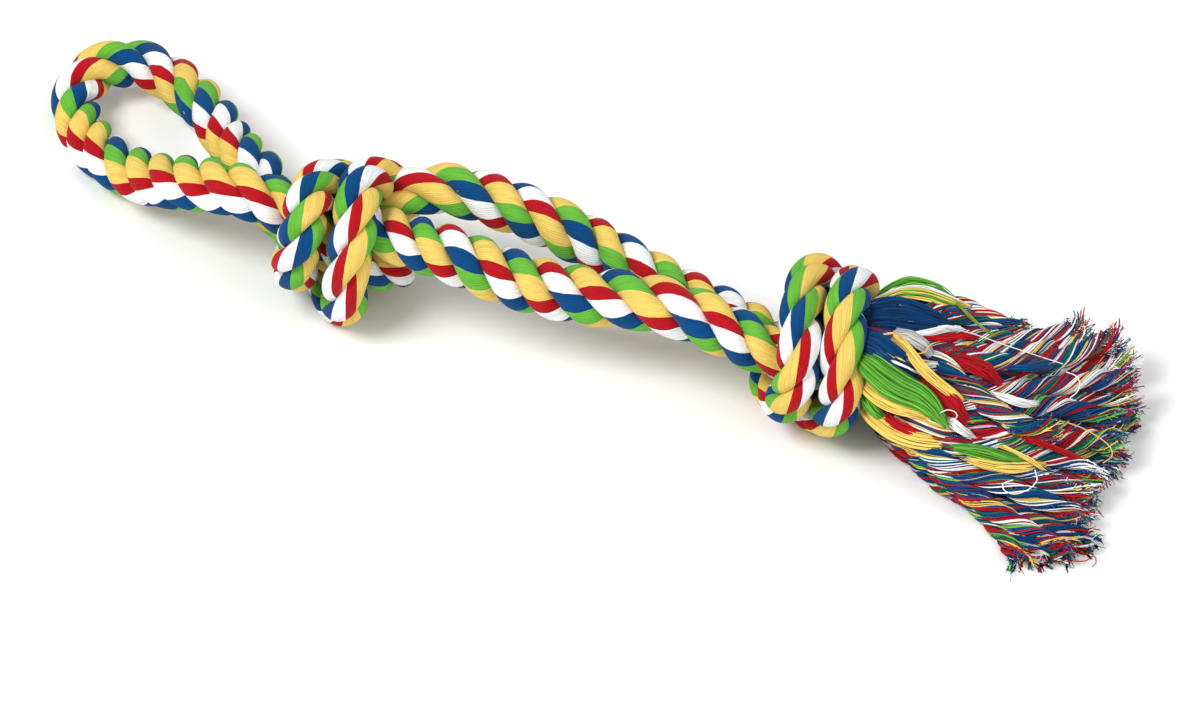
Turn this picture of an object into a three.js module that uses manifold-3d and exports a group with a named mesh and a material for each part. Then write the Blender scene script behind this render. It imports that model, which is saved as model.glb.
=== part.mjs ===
// Rope dog toy: one laid cotton rope folded in half, a hand loop at the fold,
// two doubled overhand knots and both rope ends unlaid into a tassel.
// Millimetres, +X from the hand loop to the tassel, +Y away from the viewer, +Z up.
import * as THREE from "three";
import Module from "manifold-3d";
import { mergeVertices } from "three/addons/utils/BufferGeometryUtils.js";

const wasm = await Module();
wasm.setup();

// Rope
const ropeDiameter = 26;
const loopDiameter = 23.5;
const tightDiameter = 16.3;
const endDiameter = 20;
const ropeSides = 12;
const tightSides = 10;
const stepLength = 8;
const tightStepLength = 6.5;

// Fit between pieces
const gap = 0.5;
const flatShare = 0.1;
const cupShare = 0.86;

// Middle of the toy's plan, which becomes the origin
const middle = { x: -26.53, y: 20.02 };

// Turn to turn spacing inside a knot, which scales both knots
const knotPitch = 20.5;

// Each knot: its middle, the turn about the upright, the roll about its own axis, and where
// the pair stands at its two faces as [along, across, up] in units of the spacing
const handleKnot = {
  x: -114.5,
  y: -9.2,
  yaw: 5,
  roll: 0,
  outerIn: [-2.28, 0.72, 0.06],
  innerIn: [-2.43, -0.35, 0.67],
  outerOut: [2.35, -0.49, 0.63],
  innerOut: [2.4, 1.03, 0.98],
};
const tasselKnot = {
  x: 106,
  y: 25,
  yaw: 10,
  roll: -20,
  outerIn: [-2.36, 0.28, -0.25],
  innerIn: [-2.33, -0.98, 0.08],
  outerOut: [1.85, -0.52, 0.5],
  innerOut: [1.85, 0.5, 0.25],
};

// Doubled overhand knots in units of the spacing: the pair goes in on the left under its own
// wraps, down to the right, up the back, over the top, down the front, under and out right.
const handleOuterTurn = [
  [-1.85, 0.12, -0.05],
  [-1.24, -0.2, -0.29],
  [-0.57, -0.14, -0.6],
  [-0.03, 0.06, -1.03],
  [0.11, 0.62, -1.45],
  [-0.08, 1.31, -1.33],
  [-0.39, 1.64, -0.77],
  [-0.57, 1.45, -0.09],
  [-0.63, 1.13, 0.58],
  [-0.77, 0.6, 1.06],
  [-0.77, -0.12, 1.24],
  [-0.68, -0.85, 1.27],
  [-0.65, -1.33, 0.76],
  [-0.8, -1.35, 0.05],
  [-0.97, -1.07, -0.62],
  [-1.35, -0.65, -1.08],
  [-1.57, 0.04, -1.06],
  [-1.42, 0.6, -0.63],
  [-1, 0.58, -0.06],
  [-0.46, 0.27, 0.34],
  [0.19, 0.01, 0.55],
  [0.88, -0.26, 0.52],
  [1.61, -0.41, 0.58],
];
const handleInnerTurn = [
  [-1.7, -0.43, 0.68],
  [-1, -0.51, 0.47],
  [-0.35, -0.59, 0.14],
  [0.27, -0.47, -0.21],
  [0.71, 0, -0.54],
  [0.7, 0.67, -0.8],
  [0.46, 1.3, -0.61],
  [0.29, 1.5, 0.05],
  [0.24, 1.25, 0.73],
  [0.24, 0.67, 1.18],
  [0.27, -0.03, 1.4],
  [0.38, -0.73, 1.23],
  [0.42, -1.19, 0.68],
  [0.36, -1.36, -0.03],
  [0.17, -1.26, -0.72],
  [-0.21, -0.9, -1.23],
  [-0.64, -0.37, -1.48],
  [-0.79, 0.32, -1.35],
  [-0.53, 0.75, -0.85],
  [-0.07, 0.67, -0.29],
  [0.54, 0.66, 0.12],
  [1.04, 0.86, 0.61],
  [1.67, 1, 0.93],
];
const tasselOuterTurn = [
  [-1.7, -0.03, -0.36],
  [-1.03, -0.1, -0.6],
  [-0.34, -0.05, -0.82],
  [0.12, 0.35, -1.17],
  [0.2, 1.04, -1.22],
  [-0.12, 1.58, -0.88],
  [-0.53, 1.68, -0.3],
  [-0.79, 1.48, 0.34],
  [-0.97, 0.99, 0.83],
  [-1.04, 0.27, 0.89],
  [-0.94, -0.42, 0.71],
  [-0.79, -1.1, 0.5],
  [-0.69, -1.67, 0.09],
  [-0.8, -1.73, -0.61],
  [-1.04, -1.31, -1.12],
  [-1.33, -0.67, -1.32],
  [-1.56, 0.01, -1.3],
  [-1.53, 0.61, -0.93],
  [-1.24, 0.74, -0.31],
  [-0.77, 0.37, 0.07],
  [-0.24, -0.11, 0.19],
  [0.44, -0.33, 0.29],
  [1.14, -0.4, 0.5],
];
const tasselInnerTurn = [
  [-1.67, -0.97, -0.14],
  [-1, -0.93, -0.32],
  [-0.31, -0.86, -0.41],
  [0.32, -0.61, -0.55],
  [0.75, -0.1, -0.7],
  [0.92, 0.57, -0.75],
  [0.71, 1.17, -0.51],
  [0.27, 1.4, -0.05],
  [0.06, 1.19, 0.56],
  [0.1, 0.74, 1.08],
  [0.05, 0.08, 1.19],
  [0.04, -0.6, 1.03],
  [0.15, -1.16, 0.64],
  [0.25, -1.54, 0.06],
  [0.22, -1.61, -0.62],
  [0.01, -1.29, -1.19],
  [-0.32, -0.77, -1.51],
  [-0.64, -0.17, -1.62],
  [-0.74, 0.46, -1.38],
  [-0.54, 0.79, -0.83],
  [-0.06, 0.67, -0.37],
  [0.5, 0.5, 0],
  [1.17, 0.42, 0.16],
];

// Hand loop from the near side of the handle knot round to its far side
const loopPoints = [
  [-178.9, -18.1, 45.1],
  [-193, -14.2, 37.4],
  [-206.3, -9.4, 28.8],
  [-219.8, -3.8, 20.9],
  [-233.7, 3.2, 15.1],
  [-247.9, 11, 11.4],
  [-261.2, 20.7, 10.3],
  [-271.4, 33.4, 12.2],
  [-270.3, 48.8, 15.9],
  [-257.1, 58, 17.6],
  [-240.8, 57.1, 18.1],
  [-226, 50.2, 20.5],
  [-212.8, 41.3, 25.2],
  [-200.9, 30.7, 30],
  [-189.3, 19.5, 33.8],
  [-176.1, 10.2, 37.2],
];

// Legs between the knots: each has its middle bend at its third point
const frontLegPoints = [
  [-44.2, -14.1, 47.2],
  [-23, -11.2, 44.4],
  [-1.8, -7.1, 44.5],
  [19.3, -2.8, 46.8],
  [40.8, -1.2, 48.2],
];
const backLegPoints = [
  [-46.1, 17.6, 53.9],
  [-25.4, 19.2, 48.2],
  [-5.6, 20, 40],
  [15, 21, 34],
  [36.4, 21.8, 31.9],
];

// Tassel: each rope end opens into a fan of locks that spread from one point behind it
// The ragged cut makes each lock longer or shorter than the tassel
const tasselLength = 106;
const frontFan = { yaw: -21, rise: -22, ragged: [-2, 4, -4, 8, 1, 6, -6, 2, 7, -1] };
const backFan = { yaw: 14, rise: -14, ragged: [0, 4, -7, -2, 7, 0, -6, 4, 2, -5] };
const fanBack = 20;
const lockRoot = 32;
const lockSpacing = 9.2;
const lockHalfAngle = 4.45;
const lockSides = 8;
const lockTip = 9;
const lockTipRound = 0.7;
const rowRise = 8;
// Rows of a fan from the top down: rise and number of locks across
const lockRows = [
  { rise: rowRise, across: 3 },
  { rise: 0, across: 4 },
  { rise: -rowRise, across: 3 },
];

const radians = THREE.MathUtils.degToRad;
const vector = (p) => new THREE.Vector3(p[0], p[1], p[2]);

// A closed geometry as a solid that can be joined and cut
function solid(geometry) {
  const plain = new THREE.BufferGeometry();
  const loose = geometry.index ? geometry.toNonIndexed() : geometry;
  plain.setAttribute("position", loose.getAttribute("position").clone());
  const merged = mergeVertices(plain, 1e-4);
  return new wasm.Manifold(
    new wasm.Mesh({
      numProp: 3,
      vertProperties: merged.attributes.position.array,
      triVerts: new Uint32Array(merged.index.array),
    }),
  );
}

function geometryOf(body) {
  const mesh = body.getMesh();
  const geometry = new THREE.BufferGeometry();
  geometry.setAttribute("position", new THREE.BufferAttribute(mesh.vertProperties, 3));
  geometry.setIndex(new THREE.BufferAttribute(mesh.triVerts, 1));
  geometry.computeVertexNormals();
  return geometry;
}

function ball(centre, radius) {
  const geometry = new THREE.SphereGeometry(radius, 1.5 * ropeSides, 0.75 * ropeSides);
  return solid(geometry.translate(centre.x, centre.y, centre.z));
}

const floorSize = 1000;
const floorBlock = solid(new THREE.BoxGeometry(floorSize, floorSize, floorSize).translate(0, 0, -floorSize / 2));

// Round rope swept along a curve
function rope(curve, diameter, step, sides = ropeSides) {
  const section = new THREE.Shape();
  section.absarc(0, 0, diameter / 2, 0, 2 * Math.PI, false);
  const steps = Math.max(3, Math.round(curve.getLength() / step));
  const geometry = new THREE.ExtrudeGeometry(section, {
    steps,
    curveSegments: sides / 2,
    bevelEnabled: false,
    extrudePath: curve,
  });
  return solid(geometry);
}

const through = (points) => new THREE.CatmullRomCurve3(points, false, "centripetal");

// A curve shortened at either end by a length along it
function shortened(curve, atStart, atEnd) {
  const whole = curve.getLength();
  const count = 60;
  const points = [];
  for (let i = 0; i <= count; i++) {
    const along = atStart + ((whole - atStart - atEnd) * i) / count;
    points.push(curve.getPointAt(along / whole));
  }
  return through(points);
}

// Knot space to the part's frame
function place(p, knot, height) {
  const at = vector(p).multiplyScalar(knotPitch);
  at.applyAxisAngle(new THREE.Vector3(1, 0, 0), radians(knot.roll));
  at.applyAxisAngle(new THREE.Vector3(0, 0, 1), radians(knot.yaw));
  return at.add(new THREE.Vector3(knot.x, knot.y, height));
}

const tightFlat = flatShare * tightDiameter;

// Both rope routes of a knot that rests on the floor by its lowest turn
function knotRoutes(knot, outerTurn, innerTurn) {
  const outer = [knot.outerIn, ...outerTurn, knot.outerOut];
  const inner = [knot.innerIn, ...innerTurn, knot.innerOut];
  const low = Math.min(...[...outer, ...inner].map((p) => place(p, knot, 0).z));
  const height = tightDiameter / 2 - tightFlat - low;
  return {
    height,
    outer: through(outer.map((p) => place(p, knot, height))),
    inner: through(inner.map((p) => place(p, knot, height))),
  };
}

const handle = knotRoutes(handleKnot, handleOuterTurn, handleInnerTurn);
const tassel = knotRoutes(tasselKnot, tasselOuterTurn, tasselInnerTurn);
const startOf = (curve) => curve.points[0];
const endOf = (curve) => curve.points[curve.points.length - 1];

// Pivots: the rope centres that each bend turns about
const loopNear = startOf(handle.inner);
const loopFar = startOf(handle.outer);
const legFrontStart = endOf(handle.outer);
const legBackStart = endOf(handle.inner);
const legFrontEnd = startOf(tassel.inner);
const legBackEnd = startOf(tassel.outer);
const tasselFront = endOf(tassel.outer);
const tasselBack = endOf(tassel.inner);

// Least clear space between two curves, measured on points along them
function leastSpace(a, b, diameter) {
  const count = 240;
  const pa = a.getSpacedPoints(count);
  const pb = b.getSpacedPoints(count);
  const near = (3 * diameter) / (a.getLength() / count);
  let least = Infinity;
  pa.forEach((p, i) =>
    pb.forEach((q, j) => {
      if (a === b && Math.abs(i - j) < near) return;
      least = Math.min(least, p.distanceTo(q) - diameter);
    }),
  );
  return least;
}

// A cup for a neighbour's ball end. The rope stops short of the pivot but still inside the ball,
// so that its rim stays clear of the neighbour's side at full bend.
const cup = (body, pivot, diameter) => body.subtract(ball(pivot, diameter / 2 + gap));
const stop = (diameter) => cupShare * (diameter / 2 + gap);

const solids = new Map();

// Hand loop
const loopRoute = through([loopNear, ...loopPoints.map(vector), loopFar]);
let loopBody = rope(loopRoute, loopDiameter, stepLength);
loopBody = loopBody.add(ball(loopNear, loopDiameter / 2)).add(ball(loopFar, loopDiameter / 2));
solids.set("handle_loop", loopBody.subtract(floorBlock));

// Knots
function knotPass(curve, startBall, endBall) {
  const route = shortened(curve, stop(startBall), stop(endBall));
  let body = rope(route, tightDiameter, tightStepLength, tightSides);
  body = cup(body, startOf(curve), startBall);
  body = cup(body, endOf(curve), endBall);
  return body.subtract(floorBlock);
}
solids.set("handle_knot_outer_turn", knotPass(handle.outer, loopDiameter, ropeDiameter));
solids.set("handle_knot_inner_turn", knotPass(handle.inner, loopDiameter, ropeDiameter));
solids.set("tassel_knot_outer_turn", knotPass(tassel.outer, ropeDiameter, endDiameter));
solids.set("tassel_knot_inner_turn", knotPass(tassel.inner, ropeDiameter, endDiameter));

// Legs, each of two stretches that bend at the middle
function leg(name, start, points, end) {
  const all = [start, ...points.map(vector), end];
  const bend = all[(all.length - 1) / 2];
  const whole = through(all);
  const count = 200;
  const along = [];
  for (let i = 0; i <= count; i++) along.push(whole.getPointAt(i / count));
  let at = 0;
  along.forEach((p, i) => {
    if (p.distanceTo(bend) < along[at].distanceTo(bend)) at = i;
  });
  const split = (at / count) * whole.getLength();
  const first = shortened(whole, 0, whole.getLength() - split + stop(ropeDiameter));
  const second = shortened(whole, split, 0);
  let near = rope(first, ropeDiameter, stepLength).add(ball(start, ropeDiameter / 2));
  near = cup(near, bend, ropeDiameter);
  let far = rope(second, ropeDiameter, stepLength).add(ball(bend, ropeDiameter / 2));
  far = far.add(ball(end, ropeDiameter / 2));
  solids.set(name + "_handle_half", near);
  solids.set(name + "_tassel_half", far);
  return { whole, bend };
}
const frontLeg = leg("front_leg", legFrontStart, frontLegPoints, legFrontEnd);
const backLeg = leg("back_leg", legBackStart, backLegPoints, legBackEnd);

// Tassel: two rope ends, then the locks they are unlaid into
function heading(yaw, rise) {
  const flat = Math.cos(radians(rise));
  return new THREE.Vector3(flat * Math.cos(radians(yaw)), flat * Math.sin(radians(yaw)), Math.sin(radians(rise)));
}

function lock(name, from, out, length) {
  const slope = Math.tan(radians(lockHalfAngle));
  const root = lockRoot + gap;
  const full = length - lockTip;
  const profile = [
    new THREE.Vector2(0, root),
    new THREE.Vector2(slope * root, root),
    new THREE.Vector2(slope * full, full),
    new THREE.Vector2(slope * full * lockTipRound, length - lockTip * (1 - lockTipRound)),
    new THREE.Vector2(0, length),
  ];
  const geometry = new THREE.LatheGeometry(profile, lockSides);
  geometry.applyQuaternion(new THREE.Quaternion().setFromUnitVectors(new THREE.Vector3(0, 1, 0), out));
  geometry.translate(from.x, from.y, from.z);
  solids.set(name, solid(geometry).subtract(floorBlock));
}

function ropeEnd(name, pivot, fan) {
  const axis = heading(fan.yaw, fan.rise);
  const from = pivot.clone().addScaledVector(axis, -fanBack);
  const tip = pivot.clone().addScaledVector(axis, lockRoot);
  let body = rope(new THREE.LineCurve3(pivot, tip), endDiameter, stepLength);
  body = body.add(ball(pivot, endDiameter / 2)).intersect(ball(from, lockRoot));
  solids.set(name + "_rope_end", body);
  let count = 0;
  lockRows.forEach((row) => {
    const rise = fan.rise + row.rise;
    for (let i = 0; i < row.across; i++) {
      const aside = (i - (row.across - 1) / 2) * lockSpacing;
      const out = heading(fan.yaw + aside / Math.cos(radians(rise)), rise);
      lock(name + "_tassel_lock_" + (count + 1), from, out, tasselLength + fan.ragged[count]);
      count += 1;
    }
  });
}
ropeEnd("front", tasselFront, frontFan);
ropeEnd("back", tasselBack, backFan);

const clear = [
  ["handle knot, outer turn", leastSpace(handle.outer, handle.outer, tightDiameter)],
  ["handle knot, inner turn", leastSpace(handle.inner, handle.inner, tightDiameter)],
  ["handle knot, turn to turn", leastSpace(handle.outer, handle.inner, tightDiameter)],
  ["tassel knot, outer turn", leastSpace(tassel.outer, tassel.outer, tightDiameter)],
  ["tassel knot, inner turn", leastSpace(tassel.inner, tassel.inner, tightDiameter)],
  ["tassel knot, turn to turn", leastSpace(tassel.outer, tassel.inner, tightDiameter)],
  ["hand loop", leastSpace(loopRoute, loopRoute, loopDiameter)],
  ["legs", leastSpace(frontLeg.whole, backLeg.whole, ropeDiameter)],
];
clear.forEach(([name, space]) => console.log(name + " least gap " + space.toFixed(2) + " mm"));

// Cotton, one colour to a node
const colours = {
  yellow: 0xe9c25a,
  red: 0xc02030,
  blue: 0x1f5f9c,
  green: 0x5cae3a,
  white: 0xe8e6e0,
};
const cotton = {};
Object.entries(colours).forEach(([name, color]) => {
  cotton[name] = new THREE.MeshStandardMaterial({ color, roughness: 0.9, metalness: 0 });
});
const coat = {
  handle_loop: "yellow",
  handle_knot_outer_turn: "red",
  handle_knot_inner_turn: "white",
  front_leg_handle_half: "blue",
  front_leg_tassel_half: "yellow",
  back_leg_handle_half: "green",
  back_leg_tassel_half: "white",
  tassel_knot_outer_turn: "red",
  tassel_knot_inner_turn: "green",
  front_rope_end: "yellow",
  back_rope_end: "blue",
};
const lockCoats = ["blue", "red", "green", "white", "yellow"];

const toy = new THREE.Group();
toy.name = "rope_dog_toy";
let locks = 0;
solids.forEach((body, name) => {
  const colour = coat[name] || lockCoats[locks++ % lockCoats.length];
  const mesh = new THREE.Mesh(geometryOf(body.translate([-middle.x, -middle.y, 0])), cotton[colour]);
  mesh.name = name;
  toy.add(mesh);
});

export default toy;
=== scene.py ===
import bpy
import math
import numpy as np
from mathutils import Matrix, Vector


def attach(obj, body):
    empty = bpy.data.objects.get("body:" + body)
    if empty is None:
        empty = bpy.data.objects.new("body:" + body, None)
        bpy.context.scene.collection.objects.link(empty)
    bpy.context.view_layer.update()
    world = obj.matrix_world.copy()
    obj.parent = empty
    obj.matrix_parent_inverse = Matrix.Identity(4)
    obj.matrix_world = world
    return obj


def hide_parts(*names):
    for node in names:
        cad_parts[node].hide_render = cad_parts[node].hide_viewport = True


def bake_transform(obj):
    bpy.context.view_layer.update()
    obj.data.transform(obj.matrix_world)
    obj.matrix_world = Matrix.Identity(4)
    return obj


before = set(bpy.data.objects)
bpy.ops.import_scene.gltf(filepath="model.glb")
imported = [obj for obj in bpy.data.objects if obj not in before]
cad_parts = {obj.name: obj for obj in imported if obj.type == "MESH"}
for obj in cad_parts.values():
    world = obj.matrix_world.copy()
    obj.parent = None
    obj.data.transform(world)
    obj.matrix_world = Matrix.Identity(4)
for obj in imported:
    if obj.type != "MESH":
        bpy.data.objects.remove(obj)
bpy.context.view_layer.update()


# Camera, at the height and turn that the toy was photographed from
cameraView = {
    "azimuth": 26.0,
    "elevation": 45.0,
    "distance": 5.0,
    "target": (0.02653, -0.02002, 0.0),
    "photo": (1200, 720),
    "pixelSize": 0.000433,
    "sensor": 36.0,
    "clip": (0.05, 60.0),
}


# Directions to the right of the photo, up it and out of it
def viewAxes(look):
    azimuth, elevation = math.radians(look["azimuth"]), math.radians(look["elevation"])
    flat = math.cos(elevation)
    right = np.array([math.cos(azimuth), math.sin(azimuth), 0.0])
    back = np.array([math.sin(azimuth) * flat, -math.cos(azimuth) * flat, math.sin(elevation)])
    return right, np.cross(back, right), back


# The point at a height above the floor that the photo shows at a pixel
def underPixel(pixel, height, look):
    right, upward, back = viewAxes(look)
    across = (pixel[0] - look["photo"][0] / 2) * look["pixelSize"]
    down = (pixel[1] - look["photo"][1] / 2) * look["pixelSize"]
    eye = np.array(look["target"]) + back * look["distance"]
    ray = across * right - down * upward - look["distance"] * back
    return eye + ray * (height - eye[2]) / ray[2]


def makeCamera(look):
    back = Vector(viewAxes(look)[2])
    data = bpy.data.cameras.new("photoCamera")
    data.sensor_width = look["sensor"]
    data.lens = look["sensor"] * look["distance"] / (look["photo"][0] * look["pixelSize"])
    data.clip_start, data.clip_end = look["clip"]
    camera = bpy.data.objects.new("photoCamera", data)
    camera.location = Vector(look["target"]) + back * look["distance"]
    camera.rotation_mode = "QUATERNION"
    camera.rotation_quaternion = (-back).to_track_quat("-Z", "Y")
    bpy.context.scene.collection.objects.link(camera)
    bpy.context.scene.camera = camera


makeCamera(cameraView)
print("camera set")


# Route of the rope, in metres before the shift to the middle. The points are the solids' own, moved by a few
# millimetres where the photo shows the rope elsewhere, and drawn in behind the knots, as soft rope is
ropeRoute = {
    "middle": (-0.02653, 0.02002, 0.0),
    # the knots' points are in units of the spacing of their turns
    "knotPitch": 0.0205,
    "handleKnot": {
        "place": (-0.1145, -0.0092, 0.03686),
        "yaw": 5,
        "roll": 0,
        "outerIn": (-2.28, 0.72, 0.06),
        "innerIn": (-2.43, -0.35, 0.67),
        "outerOut": (2.35, -0.49, 0.63),
        "innerOut": (2.4, 1.03, 0.98),
        "outer": [
            (-1.85, 0.12, -0.05), (-1.24, -0.2, -0.29), (-0.57, -0.14, -0.6), (-0.03, 0.06, -1.03),
            (0.11, 0.62, -1.45), (-0.08, 1.31, -1.33), (-0.39, 1.64, -0.77), (-0.44, 1.34, -0.24),
            (-0.45, 0.94, 0.34), (-0.63, 0.46, 0.88), (-0.73, -0.15, 1.2), (-0.68, -0.85, 1.27),
            (-0.65, -1.33, 0.76), (-0.8, -1.35, 0.05), (-0.91, -0.98, -0.56), (-1.14, -0.44, -0.96),
            (-1.37, 0.17, -1.02), (-1.32, 0.64, -0.63), (-1.0, 0.58, -0.06), (-0.46, 0.27, 0.34),
            (0.19, 0.01, 0.55), (0.88, -0.26, 0.52), (1.61, -0.41, 0.58),
        ],
        "inner": [
            (-1.7, -0.43, 0.68), (-1.0, -0.51, 0.47), (-0.35, -0.59, 0.14), (0.34, -0.52, -0.28),
            (0.88, -0.14, -0.73), (0.91, 0.54, -0.99), (0.55, 1.24, -0.7), (0.32, 1.43, -0.02),
            (0.31, 1.12, 0.58), (0.25, 0.58, 1.09), (0.21, -0.05, 1.4), (0.38, -0.73, 1.23),
            (0.42, -1.19, 0.68), (0.36, -1.36, -0.03), (0.31, -1.27, -0.78), (0.02, -0.9, -1.31),
            (-0.47, -0.35, -1.52), (-0.79, 0.32, -1.35), (-0.53, 0.75, -0.85), (-0.07, 0.67, -0.29),
            (0.5, 0.69, 0.16), (0.97, 0.91, 0.68), (1.67, 1.0, 0.93),
        ],
    },
    "tasselKnot": {
        "place": (0.106, 0.025, 0.03731),
        "yaw": 10,
        "roll": -20,
        "outerIn": (-2.36, 0.28, -0.25),
        "innerIn": (-2.33, -0.98, 0.08),
        "outerOut": (1.85, -0.52, 0.5),
        "innerOut": (1.85, 0.5, 0.25),
        "outer": [
            (-1.7, -0.03, -0.36), (-1.03, -0.1, -0.6), (-0.34, -0.05, -0.82), (0.12, 0.35, -1.17),
            (0.2, 1.04, -1.22), (-0.12, 1.58, -0.88), (-0.53, 1.68, -0.3), (-0.79, 1.48, 0.34),
            (-0.97, 0.99, 0.83), (-1.04, 0.27, 0.89), (-0.94, -0.42, 0.71), (-0.79, -1.1, 0.5),
            (-0.65, -1.66, 0.09), (-0.7, -1.7, -0.6), (-0.9, -1.27, -1.11), (-1.21, -0.64, -1.31),
            (-1.56, 0.01, -1.3), (-1.53, 0.61, -0.93), (-1.24, 0.74, -0.31), (-0.77, 0.37, 0.07),
            (-0.24, -0.11, 0.19), (0.44, -0.33, 0.29), (1.14, -0.4, 0.5),
        ],
        "inner": [
            (-1.67, -0.97, -0.14), (-1.0, -0.93, -0.32), (-0.31, -0.86, -0.41), (0.32, -0.61, -0.55),
            (0.75, -0.1, -0.7), (0.92, 0.57, -0.75), (0.71, 1.17, -0.51), (0.27, 1.4, -0.05),
            (-0.03, 1.09, 0.39), (-0.03, 0.63, 0.93), (-0.04, 0.04, 1.14), (0.04, -0.6, 1.03),
            (0.15, -1.16, 0.64), (0.25, -1.54, 0.06), (0.3, -1.59, -0.61), (0.13, -1.26, -1.18),
            (-0.22, -0.74, -1.5), (-0.64, -0.17, -1.62), (-0.74, 0.46, -1.38), (-0.54, 0.79, -0.83),
            (-0.06, 0.67, -0.37), (0.5, 0.5, 0.0), (1.17, 0.42, 0.16),
        ],
    },
    "loop": [
        (-0.1789, -0.0181, 0.0451), (-0.1931, -0.0144, 0.0373), (-0.2065, -0.0097, 0.0286),
        (-0.22, -0.0043, 0.0205), (-0.234, 0.0025, 0.0146), (-0.2488, 0.0098, 0.0107),
        (-0.2627, 0.0196, 0.01), (-0.2735, 0.033, 0.0127), (-0.2721, 0.0493, 0.0172),
        (-0.2577, 0.0594, 0.0191), (-0.241, 0.0584, 0.0194), (-0.2259, 0.0511, 0.0213),
        (-0.2128, 0.0416, 0.0254), (-0.2009, 0.0307, 0.03), (-0.1893, 0.0195, 0.0338),
        (-0.1761, 0.0102, 0.0372),
    ],
    "frontLeg": [
        (-0.0442, -0.0141, 0.0472), (-0.023, -0.0112, 0.0444), (-0.0018, -0.0071, 0.0445),
        (0.0193, -0.0028, 0.0468), (0.0408, -0.0012, 0.0482),
    ],
    "backLeg": [
        (-0.0459, 0.0182, 0.0544), (-0.0252, 0.0204, 0.0492), (-0.0051, 0.0219, 0.0415),
        (0.0153, 0.0226, 0.0353), (0.0364, 0.0218, 0.0319),
    ],
    "frontEnd": {"yaw": -21, "rise": -22, "length": 0.034},
    "backEnd": {"yaw": 14, "rise": -14, "length": 0.034},
    "spacing": 0.0012,
    "spanSteps": 40,
}


def placeKnot(points, knot, pitch):
    at = np.array(points, float).reshape(-1, 3) * pitch
    roll, yaw = math.radians(knot["roll"]), math.radians(knot["yaw"])
    cosRoll, sinRoll, cosYaw, sinYaw = math.cos(roll), math.sin(roll), math.cos(yaw), math.sin(yaw)
    aboutX = np.array([[1, 0, 0], [0, cosRoll, -sinRoll], [0, sinRoll, cosRoll]])
    aboutZ = np.array([[cosYaw, -sinYaw, 0], [sinYaw, cosYaw, 0], [0, 0, 1]])
    return at @ aboutX.T @ aboutZ.T + np.array(knot["place"])


def heading(yaw, rise):
    yaw, rise = math.radians(yaw), math.radians(rise)
    return np.array([math.cos(rise) * math.cos(yaw), math.cos(rise) * math.sin(yaw), math.sin(rise)])


# Centripetal Catmull-Rom curve through the points: even steps, metres along it, and metres at each point
def smoothRun(points, spacing):
    p = np.array(points, float)
    p = np.vstack([2 * p[0] - p[1], p, 2 * p[-1] - p[-2]])
    t = np.concatenate([[0], np.cumsum(np.linalg.norm(np.diff(p, axis=0), axis=1) ** 0.5)])
    dense, marks, spanSteps = [], [], ropeRoute["spanSteps"]
    for i in range(1, len(p) - 2):
        q = np.linspace(t[i], t[i + 1], spanSteps, endpoint=False)[:, None]
        a1 = ((t[i] - q) * p[i - 1] + (q - t[i - 1]) * p[i]) / (t[i] - t[i - 1])
        a2 = ((t[i + 1] - q) * p[i] + (q - t[i]) * p[i + 1]) / (t[i + 1] - t[i])
        a3 = ((t[i + 2] - q) * p[i + 1] + (q - t[i + 1]) * p[i + 2]) / (t[i + 2] - t[i + 1])
        b1 = ((t[i + 1] - q) * a1 + (q - t[i - 1]) * a2) / (t[i + 1] - t[i - 1])
        b2 = ((t[i + 2] - q) * a2 + (q - t[i]) * a3) / (t[i + 2] - t[i])
        marks.append(len(dense) * spanSteps)
        dense.append(((t[i + 1] - q) * b1 + (q - t[i]) * b2) / (t[i + 1] - t[i]))
    dense = np.vstack(dense + [p[-2][None]])
    marks.append(len(dense) - 1)
    along = np.concatenate([[0], np.cumsum(np.linalg.norm(np.diff(dense, axis=0), axis=1))])
    count = int(round(along[-1] / spacing))
    s = np.linspace(0, along[-1], count + 1)
    run = np.stack([np.interp(s, along, dense[:, k]) for k in range(3)], axis=1)
    return run, s, along[marks]


# Side directions that don't twist along the run
def steadyFrame(run):
    tangent = np.gradient(run, axis=0)
    tangent /= np.linalg.norm(tangent, axis=1)[:, None]
    side = np.zeros_like(run)
    start = np.cross(tangent[0], [0.0, 0.0, 1.0])
    side[0] = start / np.linalg.norm(start)
    for i in range(1, len(run)):
        n = side[i - 1] - tangent[i] * (side[i - 1] @ tangent[i])
        side[i] = n / np.linalg.norm(n)
    return tangent, side, np.cross(tangent, side)


# Values at stations along the run, joined by straight lines and then eased
def eased(s, stations, ease):
    at, value = np.array(stations, float).T
    spacing = s[1] - s[0]
    reach = max(1, int(ease / spacing))
    padded = np.interp(np.arange(-2 * reach, len(s) + 2 * reach) * spacing, at, value)
    slopeStart = (value[1] - value[0]) / (at[1] - at[0])
    slopeEnd = (value[-1] - value[-2]) / (at[-1] - at[-2])
    padded[: 2 * reach] = value[0] + slopeStart * np.arange(-2 * reach, 0) * spacing
    padded[len(padded) - 2 * reach:] = value[-1] + slopeEnd * np.arange(1, 2 * reach + 1) * spacing
    kernel = np.ones(2 * reach + 1) / (2 * reach + 1)
    return np.convolve(np.convolve(padded, kernel, "valid"), kernel, "valid")


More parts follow.
